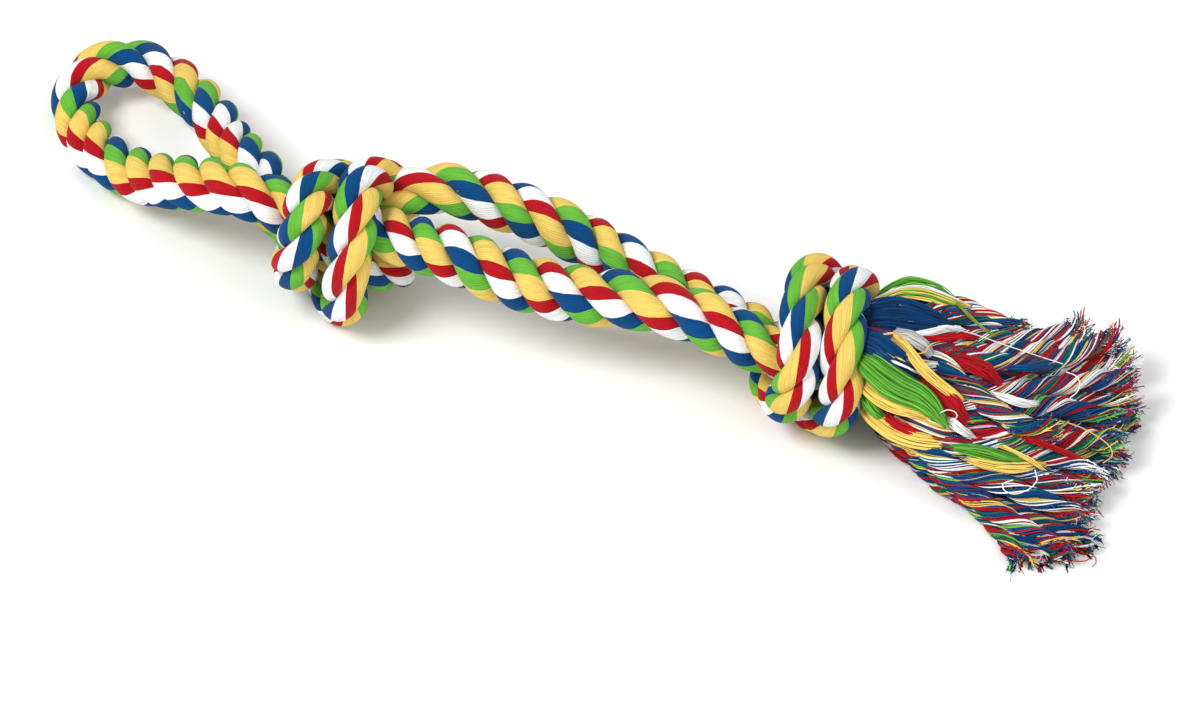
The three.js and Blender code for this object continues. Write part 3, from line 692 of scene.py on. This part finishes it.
# Tassel: twisted locks of mixed threads from the knot to their frayed tips, bundles of one colour that lie
# on them near the knot, and a few stray threads. Each has its place across the fan, from 1 at its top edge in
# the photo to -1 at its bottom edge, its depth under the fan's upper side, and its way in pixels of the photo
tassel = {
    "seed": 11,
    "bend": ((0.160, 0.012, 0.045), (0.182, 0.012, 0.045)),
    # the upper side sinks and thins from the knot out, and sinks most at the low places
    "fan": {
        "root": (866, 350), "reach": 270.0,  # pixels
        "height": 0.040, "drop": 0.027, "dropPower": 0.8,
        "lowDrop": 0.005, "lowFrom": 0.5, "lowSpan": 0.8,
        "half": 0.025, "thinning": 0.014, "thinPower": 0.7,
        "depthShare": 0.9, "least": 0.0022,
        "rootDepth": 0.008, "rootReach": 0.5, "rootPower": 1.5,
        "coverTuck": 0.005, "coverRise": 0.003, "riseFrom": 0.2, "riseSpan": 0.2,
    },
    "backLocks": 11,
    "solidLocks": 10,
    "threads": 48,
    "innerThreads": 4,
    "underThreads": 24,
    "threadWidth": 0.0007,
    "threadTaper": ((0.0, 0.8), (0.8, 1.0), (1.0, 0.75)),
    "steps": 46,
    "waySpacing": 0.0008,
    "turnsPerMetre": (-30.0, -20.0),
    "turnJitter": 0.08,
    "swell": ((0.0, 0.55), (0.25, 0.9), (0.6, 1.0), (0.85, 0.95), (1.0, 0.95)),
    "innerReach": 0.5,
    "outerReach": (0.84, 0.96),
    "plies": 3,
    "plyGroove": 0.3,
    "sameAgain": 0.3,
    "steadyRoot": 0.3,
    "lockWander": 0.0008,
    "lockWaves": 2.0,
    "threadWander": 0.0002,
    "threadWaves": 2.5,
    "waveRates": (0.4, 1.0),
    "cut": 0.007,
    "overrun": 0.002,
    "looseFrom": 0.8,
    "splay": 0.6,
    "scatter": 0.0012,
    "lockTint": 0.26,
    # painted shade: the inner threads of each lock and the locks underneath are darkened, for the shade
    # between locks
    "innerPaintedShade": 0.6,
    "underPaintedShade": 0.6,
    "underHeight": 0.55,
    "underDrop": 0.003,
    "underShift": (-0.005, 0.003),
    "fibres": 3,
    "fibreSteps": 6,
    "fibreRoots": 3,
    "fibreLead": 4,
    "fibreScatter": 0.0003,
    "fibreTurn": 0.22,
    "fibreCurl": 0.45,
    "fibreWidth": 0.00036,
    "fibreTaper": 0.4,
    "fibreLength": 0.0022,
    "fibreLengths": (0.5, 1.3),
    # painted light: the fray fibres are brightened to lift the shade among them
    "fibrePaintedLight": (1.2, 2.0),
    "coverSteps": 30,
    "coverEase": 2,
    "coverThread": 0.00055,
    "coverLeast": 3,
    "coverOverlap": 1.25,
    "coverWidth": 0.0005,
    "coverJitter": 0.4,
    "coverRough": 0.04,
    "coverTint": 0.16,
    "coverShades": (0.95, 1.35),
    "darkCoverShades": {"green": (0.4, 1.4), "navy": (0.7, 1.4)},
    "coverBulge": 0.4,
    "coverUnderside": 0.6,
    "straySteps": 40,
    "strayWidth": 0.0005,
    "sides": {"lock": 4, "fibre": 3, "cover": 5, "stray": 6},
    "shares": {"blue": 0.36, "red": 0.24, "white": 0.2, "teal": 0.09, "yellow": 0.08, "green": 0.03},
    "paleShares": {"yellow": 0.38, "white": 0.22, "green": 0.2, "red": 0.12, "blue": 0.08},
    # place, depth, half width and way
    "locks": [
        (0.97, 0.0030, 0.0036, [
            (868, 312), (905, 296), (945, 301), (968, 307), (990, 317), (1010, 326), (1028, 333)]),
        (0.90, 0.0020, 0.0046, [
            (868, 316), (915, 312), (945, 313), (970, 320), (995, 330), (1014, 336), (1031, 337)]),
        (0.78, 0.0020, 0.0046, [
            (868, 322), (915, 334), (948, 340), (982, 339),
            (1012, 341), (1046, 336), (1068, 330), (1082, 320)]),
        (0.62, 0.0030, 0.0051, [
            (868, 328), (915, 340), (948, 348), (982, 353), (1018, 354), (1052, 349), (1092, 340)]),
        (0.50, 0.0020, 0.0053, [
            (868, 332), (915, 343), (958, 352), (1000, 365), (1045, 365), (1078, 352), (1120, 333)]),
        (0.42, 0.0095, 0.0044, [
            (868, 338), (920, 352), (975, 372), (1025, 380), (1062, 371), (1098, 364), (1133, 358)]),
        (0.34, 0.0020, 0.0053, [
            (868, 340), (905, 340), (930, 350), (952, 374),
            (976, 396), (1002, 416), (1030, 428), (1062, 430)]),
        (0.28, 0.0095, 0.0044, [
            (868, 342), (915, 352), (955, 374), (1000, 389), (1045, 390), (1082, 376), (1116, 366)]),
        (0.20, 0.0030, 0.0053, [
            (868, 346), (925, 368), (965, 386), (1003, 390), (1045, 384), (1085, 381), (1136, 383)]),
        (0.10, 0.0105, 0.0044, [
            (868, 350), (915, 364), (945, 388), (985, 404), (1030, 404), (1080, 399), (1136, 404)]),
        (0.04, 0.0030, 0.0053, [
            (868, 353), (925, 380), (960, 404), (1000, 414), (1045, 407), (1088, 412), (1127, 424)]),
        (-0.06, 0.0105, 0.0044, [
            (868, 357), (920, 380), (955, 410), (1000, 428), (1050, 430), (1095, 424), (1132, 420)]),
        (-0.14, 0.0030, 0.0053, [
            (868, 361), (925, 392), (962, 420), (1005, 438), (1050, 440), (1092, 438), (1124, 446)]),
        (-0.24, 0.0095, 0.0044, [
            (868, 364), (925, 396), (970, 426), (1020, 442), (1065, 450), (1100, 454), (1122, 466)]),
        (-0.32, 0.0030, 0.0053, [
            (868, 368), (920, 402), (960, 430), (1005, 450), (1046, 458), (1082, 470), (1102, 488)]),
        (-0.42, 0.0095, 0.0044, [
            (868, 374), (920, 410), (965, 444), (1015, 462), (1058, 474), (1098, 478)]),
        (-0.48, 0.0020, 0.0053, [
            (868, 380), (920, 422), (962, 450), (1010, 466), (1050, 480), (1090, 499)]),
        (-0.57, 0.0095, 0.0044, [
            (868, 385), (915, 426), (960, 464), (1010, 486), (1055, 498), (1094, 510)]),
        (-0.66, 0.0020, 0.0053, [
            (868, 390), (910, 434), (950, 464), (1000, 484), (1048, 504), (1088, 524)]),
        (-0.76, 0.0095, 0.0044, [
            (868, 393), (910, 438), (955, 476), (1000, 504), (1050, 528), (1098, 544)]),
        (-0.84, 0.0020, 0.0053, [
            (868, 396), (905, 440), (945, 472), (990, 506), (1034, 536), (1074, 558)]),
        (-0.92, 0.0085, 0.0040, [
            (868, 400), (905, 444), (950, 480), (988, 512), (1020, 542), (1044, 563)]),
        (-0.99, 0.0020, 0.0044, [
            (866, 404), (898, 442), (938, 474), (974, 504), (1002, 535), (1022, 567)]),
    ],
    # colour, place, depth or depths, half widths and way
    "covers": [
        ("green", 0.97, -0.001, (0.0011, 0.0016, 0.0023, 0.0022, 0.0017, 0.0009), [
            (872, 300), (891, 288), (908, 282), (924, 283), (940, 289), (957, 302)]),
        ("olive", 0.90, -0.002, (0.0009, 0.0007, 0.0005, 0.0003), [
            (952, 297), (967, 313), (983, 328), (1001, 339)]),
        ("pale", 0.90, 0.000, (0.0017, 0.0026, 0.0032, 0.0028, 0.0017), [
            (872, 305), (900, 293), (922, 293), (945, 300), (968, 309)]),
        ("navy", 0.60, -0.002, (0.0043, 0.0069, 0.0076, 0.0067, 0.0045, 0.0004), [
            (862, 317), (879, 314), (895, 314), (912, 317), (931, 321), (953, 327)]),
        ("white", 0.54, -0.001, (0.0006, 0.0013, 0.0016, 0.0009), [
            (900, 335), (925, 333), (946, 329), (963, 330)]),
        ("red", 0.50, -0.001, (0.0006, 0.0013, 0.0013, 0.0009), [
            (912, 337), (938, 338), (965, 336), (985, 338)]),
        # a white bundle given painted shade
        ("grey", 0.44, -0.001, (0.0026, 0.0032, 0.0028, 0.0017), [
            (896, 334), (911, 338), (923, 345), (931, 355)]),
        ("navy", 0.30, 0.001, (0.0052, 0.0061, 0.0052, 0.0026), [
            (862, 338), (880, 349), (897, 361), (916, 376)]),
        ("yellow", 0.30, -0.001, (0.0004, 0.0006, 0.0005, 0.0003), [
            (872, 345), (890, 355), (906, 361), (922, 366)]),
        ("white", 0.24, -0.001, (0.0003, 0.0005, 0.0004, 0.0003), [
            (876, 352), (893, 361), (908, 368), (920, 374)]),
        ("yellow", 0.36, (0.0092, 0.0048, -0.0024, -0.0016, 0.0007, 0.0051, 0.0113),
         (0.0026, 0.0032, 0.0024, 0.0022, 0.0022, 0.0019, 0.0015), [
            (878, 324), (894, 337), (909, 352), (925, 371), (941, 385), (957, 398), (972, 413)]),
        ("red", 0.06, 0.002, (0.0030, 0.0043, 0.0043, 0.0026), [
            (918, 382), (936, 392), (951, 404), (966, 424)]),
        ("green", -0.10, -0.003, (0.0030, 0.0056, 0.0067, 0.0065, 0.0056, 0.0039, 0.0004), [
            (860, 357), (873, 368), (888, 380), (903, 389), (918, 396), (932, 407), (947, 427)]),
        ("yellow", -0.34, -0.002, (0.0026, 0.0032, 0.0032, 0.0030, 0.0026, 0.0006), [
            (860, 379), (873, 393), (888, 403), (904, 409), (921, 413), (946, 427)]),
        ("green", -0.50, 0.000, (0.0022, 0.0024, 0.0022, 0.0013), [
            (861, 388), (866, 400), (874, 411), (886, 420)]),
        ("red", -0.56, 0.001, (0.0017, 0.0022, 0.0022, 0.0013), [
            (874, 408), (892, 422), (912, 431), (936, 436)]),
        ("pale", -0.44, 0.000, (0.0022, 0.0030, 0.0030, 0.0022), [
            (896, 412), (918, 421), (942, 430), (972, 433)]),
        ("yellow", -0.76, -0.002, (0.0026, 0.0037, 0.0039, 0.0037, 0.0035, 0.0030, 0.0017), [
            (860, 398), (873, 416), (889, 429), (909, 438), (934, 442), (960, 439), (988, 433)]),
        ("yellow", -0.90, 0.000, (0.0009, 0.0014, 0.0015, 0.0009), [
            (898, 444), (918, 452), (938, 461), (958, 472)]),
        ("white", -0.26, 0.000, (0.0009, 0.0017, 0.0019, 0.0009), [
            (941, 414), (953, 423), (963, 431), (974, 438)]),
        ("red", 0.36, -0.001, (0.0017, 0.0035, 0.0037, 0.0013), [
            (952, 357), (969, 363), (986, 371), (1001, 384)]),
        ("white", 0.14, -0.001, (0.0006, 0.0017, 0.0019, 0.0009), [
            (990, 393), (1006, 398), (1022, 403), (1040, 404)]),
        ("yellow", -0.14, -0.001, (0.0009, 0.0019, 0.0028, 0.0022), [
            (992, 414), (1004, 421), (1014, 427), (1024, 434)]),
        ("green", -0.52, -0.001, (0.0009, 0.0026, 0.0032, 0.0026, 0.0009), [
            (946, 447), (965, 449), (985, 453), (1008, 459), (1034, 464)]),
        ("yellow", -0.60, -0.001, (0.0009, 0.0019, 0.0024, 0.0019, 0.0009), [
            (958, 455), (980, 463), (1002, 467), (1026, 467), (1052, 463)]),
        ("yellow", -0.46, -0.001, (0.0005, 0.0010, 0.0011, 0.0007), [
            (982, 438), (1008, 449), (1028, 459), (1048, 474)]),
        ("blue", 0.44, -0.001, (0.0006, 0.0017, 0.0019, 0.0009), [
            (1000, 366), (1020, 368), (1040, 366), (1062, 358)]),
        ("red", -0.24, -0.001, (0.0005, 0.0011, 0.0013, 0.0007), [
            (995, 430), (1025, 438), (1055, 448), (1085, 462)]),
    ],
    # colour, place, depth and way
    "strays": [
        ("white", 0.30, 0.0004, [
            (940, 413), (947, 410), (955, 412), (957, 417), (950, 420)]),
        ("white", -0.60, -0.0060, [
            (1035, 470), (1037, 480), (1029, 489), (1014, 494), (1004, 490), (1003, 484), (1013, 480)]),
        ("white", 0.55, -0.0040, [
            (938, 326), (970, 333), (1005, 345), (1035, 355), (1063, 364)]),
        ("red", -0.80, 0.0037, [
            (1049, 556), (1067, 560), (1085, 561), (1094, 556), (1096, 563), (1092, 567)]),
        ("yellow", -0.10, -0.0050, [
            (1020, 420), (1060, 421), (1090, 432), (1110, 447), (1112, 456), (1103, 463)]),
        ("blue", -0.50, -0.0040, [
            (1078, 492), (1090, 488), (1097, 497), (1093, 506), (1086, 500)]),
        ("white", 0.20, -0.0040, [
            (1066, 372), (1076, 376), (1080, 384), (1077, 392), (1070, 398)]),
        ("yellow", 0.40, -0.0036, [
            (918, 354), (925, 352), (929, 346), (934, 343)]),
    ],
}
chance = np.random.RandomState(tassel["seed"])


# How far out in the fan a pixel is, from 0 at the knot to 1
def fanShare(pixel, fan):
    return min(1.0, math.dist(pixel, fan["root"]) / fan["reach"])


# Height of the fan's upper side at a pixel, less the depth of what lies there
def fanHeight(pixel, place, depth, fan):
    share = fanShare(pixel, fan)
    low = min(1.0, max(0.0, (fan["lowFrom"] - place) / fan["lowSpan"]))
    middle = fan["height"] - (fan["drop"] + fan["lowDrop"] * low) * share ** fan["dropPower"]
    half = fan["half"] - fan["thinning"] * share ** fan["thinPower"]
    top = middle + half * math.cos(math.acos(place) - math.radians(cameraView["elevation"]))
    return max(fan["least"], top - fan["depthShare"] * depth)


def fanWay(pixels, place, depths, fan):
    heights = [fanHeight(pixel, place, depth, fan) for pixel, depth in zip(pixels, depths)]
    return np.array([underPixel(pixel, height, cameraView) for pixel, height in zip(pixels, heights)])


# Locks start deep in the knot
def lockWay(pixels, place, depth, fan):
    inside = [max(0.0, 1 - fanShare(pixel, fan) / fan["rootReach"]) for pixel in pixels]
    return fanWay(pixels, place, depth + fan["rootDepth"] * np.array(inside) ** fan["rootPower"], fan)


# Bundles rise off the locks further out, and are tucked in at both ends
def coverWay(pixels, place, depth, fan):
    outside = [(fanShare(pixel, fan) - fan["riseFrom"]) / fan["riseSpan"] for pixel in pixels]
    depths = np.array(depth) - fan["coverRise"] * np.clip(outside, 0, 1)
    depths[[0, -1]] += fan["coverTuck"]
    return fanWay(pixels, place, depths, fan)


# Even steps along a smooth way through a few points
def steps(points, count):
    way, s = smoothRun(points, tassel["waySpacing"])[:2]
    at = np.linspace(0, s[-1], count)
    return np.stack([np.interp(at, s, way[:, k]) for k in range(3)], 1), at


def jitter(spread):
    return chance.uniform(-spread, spread)


def wander(count, size, waves):
    t = np.linspace(0, 1, count)[:, None]
    phase = chance.uniform(0, 2 * math.pi, (1, 3))
    rate = chance.uniform(*tassel["waveRates"], (1, 3)) * waves * 2 * math.pi
    return size * np.sin(rate * t + phase)


# Tubes of thread: a direction that no thread runs along, the least height, and metres between yarn maps
threadTube = {"upright": (0.0, 0.3, 1.0), "floorGap": 0.0002, "mapShift": 0.37}


# Tubes along many ways of the same number of steps, with a colour for each
def threadMesh(name, ways, widths, colours, sides):
    ways, widths = np.array(ways), np.array(widths)
    count, rows = ways.shape[:2]
    onward = np.gradient(ways, axis=1)
    onward /= np.maximum(np.linalg.norm(onward, axis=2), 1e-9)[..., None]
    across = np.cross(onward, np.array(threadTube["upright"]))
    across /= np.maximum(np.linalg.norm(across, axis=2), 1e-9)[..., None]
    over = np.cross(across, onward)
    angle = np.linspace(0, 2 * math.pi, sides, endpoint=False)
    ring = np.cos(angle)[:, None] * across[:, :, None] + np.sin(angle)[:, None] * over[:, :, None]
    points = ways[:, :, None] + ring * (widths / 2)[:, :, None, None]
    points[..., 2] = np.maximum(points[..., 2], threadTube["floorGap"])
    j = np.arange(sides)
    corners = [j, j + sides, (j + 1) % sides + sides, (j + 1) % sides]
    firsts = (np.arange(count) * rows)[:, None] + np.arange(rows - 1)
    quads = firsts[..., None, None] * sides + np.stack(corners, -1)
    mesh = bpy.data.meshes.new(name)
    mesh.from_pydata(points.reshape(-1, 3).tolist(), [], quads.reshape(-1, 4).tolist())
    length = np.cumsum(np.linalg.norm(np.diff(ways, axis=1), axis=2), axis=1)
    length = np.pad(length, ((0, 0), (1, 0))) + np.arange(count)[:, None] * threadTube["mapShift"]
    u = (j[:, None] + np.array([0, 0, 1, 1])) / sides
    v = np.stack([length[:, :-1], length[:, 1:], length[:, 1:], length[:, :-1]], -1)[:, :, None]
    uv = np.stack([np.broadcast_to(u, quads.shape), np.broadcast_to(v, quads.shape)], -1)
    layer = mesh.uv_layers.new(name="yarnMap")
    layer.data.foreach_set("uv", uv.astype(np.float32).ravel())
    tint = mesh.color_attributes.new(name="yarnColour", type="FLOAT_COLOR", domain="POINT")
    each = np.repeat(np.array(colours, np.float32), rows * sides, axis=0)
    tint.data.foreach_set("color", each.ravel())
    mesh.shade_smooth()
    return mesh


def tinted(name, spread, shade=1.0):
    colour = np.array(cottonColours[name])
    colour[:3] *= shade * (1 + jitter(spread))
    return colour


def pickColours(count, shares, sameAgain):
    names, edges = list(shares), np.cumsum(list(shares.values())) / sum(shares.values())
    picked = []
    for k in range(count):
        if picked and chance.rand() < sameAgain:
            picked.append(picked[-1])
        else:
            picked.append(names[int(np.searchsorted(edges, chance.rand()))])
    return picked


# One lock: threads twisted round its way, which splay where they are cut. The inner threads get painted
# shade, and so does the whole lock when it lies underneath
def lockThreads(half, points, look, outer, shade=1.0):
    count = look["steps"]
    way, at = steps(points, count)
    t = at / at[-1]
    sway = wander(count, look["lockWander"], look["lockWaves"])
    way = way + np.clip(t / look["steadyRoot"], 0, 1)[:, None] * sway
    side, over = steadyFrame(way)[1:]
    swell = np.interp(t, *zip(*look["swell"]))
    loose = np.clip((t - look["looseFrom"]) / (1 - look["looseFrom"]), 0, 1)[:, None] ** 2
    number = outer + look["innerThreads"]
    names = pickColours(number, look["shares"], look["sameAgain"])
    start, rate = chance.rand(), chance.uniform(*look["turnsPerMetre"])
    ways, colours = [], []
    for k in range(number):
        inner = k >= outer
        place = chance.rand() if inner else k / outer
        angle = 2 * math.pi * (place + start + rate * at) + jitter(look["turnJitter"])
        groove = look["plyGroove"] * (1 - abs(math.sin(look["plies"] * math.pi * place)))
        share = look["innerReach"] if inner else chance.uniform(*look["outerReach"]) - groove
        reach = half * share * swell * (1 + look["splay"] * loose[:, 0] * chance.uniform(0, 1))
        thread = way + (np.cos(angle) * reach)[:, None] * side + (np.sin(angle) * reach)[:, None] * over
        thread = thread + wander(count, look["threadWander"], look["threadWaves"])
        thread = thread + loose * chance.normal(0, look["scatter"], 3)
        stop = at[-1] + look["overrun"] - chance.uniform(0, look["cut"])
        cut = np.linspace(0, stop, count)
        ways.append(np.stack([np.interp(cut, at, thread[:, m]) for m in range(3)], 1))
        # painted shade darkens the inner threads, and every thread of a lock underneath
        colours.append(tinted(names[k], look["lockTint"], shade * (look["innerPaintedShade"] if inner else 1.0)))
    width = look["threadWidth"] * look["threads"] / outer * np.interp(t, *zip(*look["threadTaper"]))
    return ways, [width] * number, colours


# Short fibres that a cut thread falls apart into, their colours brightened above the thread's own as painted
# light
def frayFibres(ways, colours, look):
    fibres, shades = [], []
    t = np.linspace(0, 1, look["fibreSteps"])[:, None]
    for way, colour in zip(ways, colours):
        onward = way[-1] - way[-1 - look["fibreLead"]]
        onward = onward / np.linalg.norm(onward)
        for k in range(look["fibres"]):
            root = way[-2 - chance.randint(look["fibreRoots"])] + chance.normal(0, look["fibreScatter"], 3)
            turn = onward + chance.normal(0, look["fibreTurn"], 3)
            curl = chance.normal(0, look["fibreCurl"], 3)
            length = look["fibreLength"] * chance.uniform(*look["fibreLengths"])
            fibres.append(root + length * (t * turn + t * t * curl))
            # painted light: each fibre is brightened above its thread's colour
            shades.append(colour * np.array([*chance.uniform(*look["fibrePaintedLight"], 3), 1.0]))
    width = look["fibreWidth"] * (1 - look["fibreTaper"] * t[:, 0])
    return fibres, [width] * len(fibres), shades


# One bundle of parallel threads, flattened on the side that it is seen from
def coverThreads(name, halves, points, look):
    count, facing = look["coverSteps"], viewAxes(cameraView)[2]
    way, at = steps(points, count)
    tangent = steadyFrame(way)[0]
    away = facing - (tangent @ facing)[:, None] * tangent
    away /= np.linalg.norm(away, axis=1)[:, None]
    sideways = np.cross(tangent, away)
    half = np.interp(at / at[-1], np.linspace(0, 1, len(halves)), halves)
    ease = 2 * look["coverEase"] + 1
    half = np.convolve(np.pad(half, look["coverEase"], mode="edge"), np.ones(ease) / ease, "valid")
    number = max(look["coverLeast"], int(round(2 * max(halves) / look["coverThread"])))
    names = [name] * number
    if name == "pale":
        names = pickColours(number, look["paleShares"], look["sameAgain"])
    ways = []
    for bulge in (look["coverBulge"], -look["coverUnderside"]):
        for k in range(number):
            w = 2 * (k + 0.5) / number - 1 + jitter(look["coverJitter"]) / number
            rise = bulge * math.sqrt(1 - w * w) + jitter(look["coverRough"])
            thread = way + (w * half)[:, None] * sideways + (rise * half)[:, None] * away
            ways.append(thread + wander(count, look["threadWander"], look["threadWaves"]))
    width = np.maximum(2 * look["coverOverlap"] * half / number, look["coverWidth"])
    shades = [chance.uniform(*look["darkCoverShades"].get(n, look["coverShades"])) for n in names * 2]
    colours = [tinted(n, look["coverTint"], shade) for n, shade in zip(names * 2, shades)]
    return ways, [width] * len(ways), colours


yarnFinish = {
    "yarns": 3.0, "tone": 0.22, "lint": 0.0, "bump": 0.4, "depth": 0.0002,
    "roughness": 0.9, "sheen": 0.06, "specular": 0.12,
}


def makeYarnMaterial(finish):
    material, group = makeCotton("looseCotton", finish)
    tint = addNode(material.node_tree, "ShaderNodeAttribute", attribute_name="yarnColour")
    setInput(material.node_tree, group, "Colour", tint.outputs["Color"])
    return material


yarnMaterial = makeYarnMaterial(yarnFinish)
print("yarn material made")


def makeTasselPiece(name, threads, sides, replaced=()):
    ways, widths, colours = threads
    piece = newObject(name, threadMesh(name, ways, widths, colours, sides), yarnMaterial)
    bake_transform(piece)
    if replaced:
        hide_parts(*replaced)
    print("made %s, %d threads, %d faces" % (name, len(ways), len(piece.data.polygons)))


def gather(parts):
    ways, widths, colours = [], [], []
    for a, b, c in parts:
        ways, widths, colours = ways + a, widths + b, colours + c
    return ways, widths, colours


def makeTassel(look):
    fan, sides = look["fan"], look["sides"]
    locks = [(half, lockWay(way, place, depth, fan)) for place, depth, half, way in look["locks"]]
    upper = [lockThreads(half, points, look, look["threads"]) for half, points in locks]
    lower = []
    for half, points in locks[1::2]:
        points[:, 2] = np.maximum(points[:, 2] * look["underHeight"] - look["underDrop"], half)
        points[2:, :2] += chance.uniform(*look["underShift"], 2)
        # the locks underneath are darkened with painted shade
        lower.append(lockThreads(half, points, look, look["underThreads"], look["underPaintedShade"]))
    for end, part in (("back", upper[:look["backLocks"]]), ("front", upper[look["backLocks"]:])):
        nodes = [end + "_tassel_lock_" + str(k + 1) for k in range(look["solidLocks"])]
        makeTasselPiece(end + "TasselLocks", gather(part), sides["lock"], [end + "_rope_end", *nodes])
    makeTasselPiece("tasselUnderLocks", gather(lower), sides["lock"])
    everyLock = gather(upper + lower)
    makeTasselPiece("tasselFray", frayFibres(everyLock[0], everyLock[2], look), sides["fibre"])
    covers = []
    for name, place, depth, halves, way in look["covers"]:
        covers.append(coverThreads(name, halves, coverWay(way, place, depth, fan), look))
    makeTasselPiece("tasselCover", gather(covers), sides["cover"])
    count, ways, colours = look["straySteps"], [], []
    for name, place, depth, way in look["strays"]:
        ways.append(steps(fanWay(way, place, [depth] * len(way), fan), count)[0])
        colours.append(tinted(name, look["coverTint"]))
    widths = [np.full(count, look["strayWidth"])] * len(ways)
    makeTasselPiece("tasselStrays", (ways, widths, colours), sides["stray"])


makeTassel(tassel)


# Floor and light
studio = {
    "floorSize": 30.0,
    "floor": {"Base Color": (0.97, 0.97, 0.97, 1.0), "Roughness": 1.0, "Specular IOR Level": 0.0},
    "sky": 0.5,
    "key": {"place": (-0.9, -1.3, 2.2), "size": 1.2, "power": 50.0},
    "fill": {"place": (1.6, -0.4, 1.5), "size": 1.8, "power": 16.0},
}


def makeStudio(look):
    half = look["floorSize"] / 2
    mesh = bpy.data.meshes.new("floor")
    corners = [(-half, -half, 0), (half, -half, 0), (half, half, 0), (-half, half, 0)]
    mesh.from_pydata(corners, [], [(0, 1, 2, 3)])
    material = bpy.data.materials.new("paleFloor")
    material.use_nodes = True
    shader = material.node_tree.nodes["Principled BSDF"]
    for key, value in look["floor"].items():
        shader.inputs[key].default_value = value
    newObject("floor", mesh, material)
    for name in ("key", "fill"):
        data = bpy.data.lights.new(name, "AREA")
        data.shape = "DISK"
        data.size = look[name]["size"]
        data.energy = look[name]["power"]
        lamp = bpy.data.objects.new(name, data)
        lamp.location = look[name]["place"]
        lamp.rotation_mode = "QUATERNION"
        lamp.rotation_quaternion = (-Vector(look[name]["place"])).to_track_quat("-Z", "Y")
        bpy.context.scene.collection.objects.link(lamp)
    world = bpy.data.worlds.new("studioSky")
    bpy.context.scene.world = world
    world.use_nodes = True
    tree = world.node_tree
    sky = tree.nodes["Background"]
    sky.inputs["Color"].default_value = (1.0, 1.0, 1.0, 1.0)
    path = addNode(tree, "ShaderNodeLightPath")
    sight = maths(tree, "MAXIMUM", path.outputs["Is Camera Ray"], path.outputs["Is Glossy Ray"])
    strength = maths(tree, "MULTIPLY_ADD", sight, 1.0 - look["sky"], look["sky"])
    tree.links.new(strength, sky.inputs["Strength"])


makeStudio(studio)
print("studio made")
bpy.context.scene.view_settings.view_transform = "Standard"
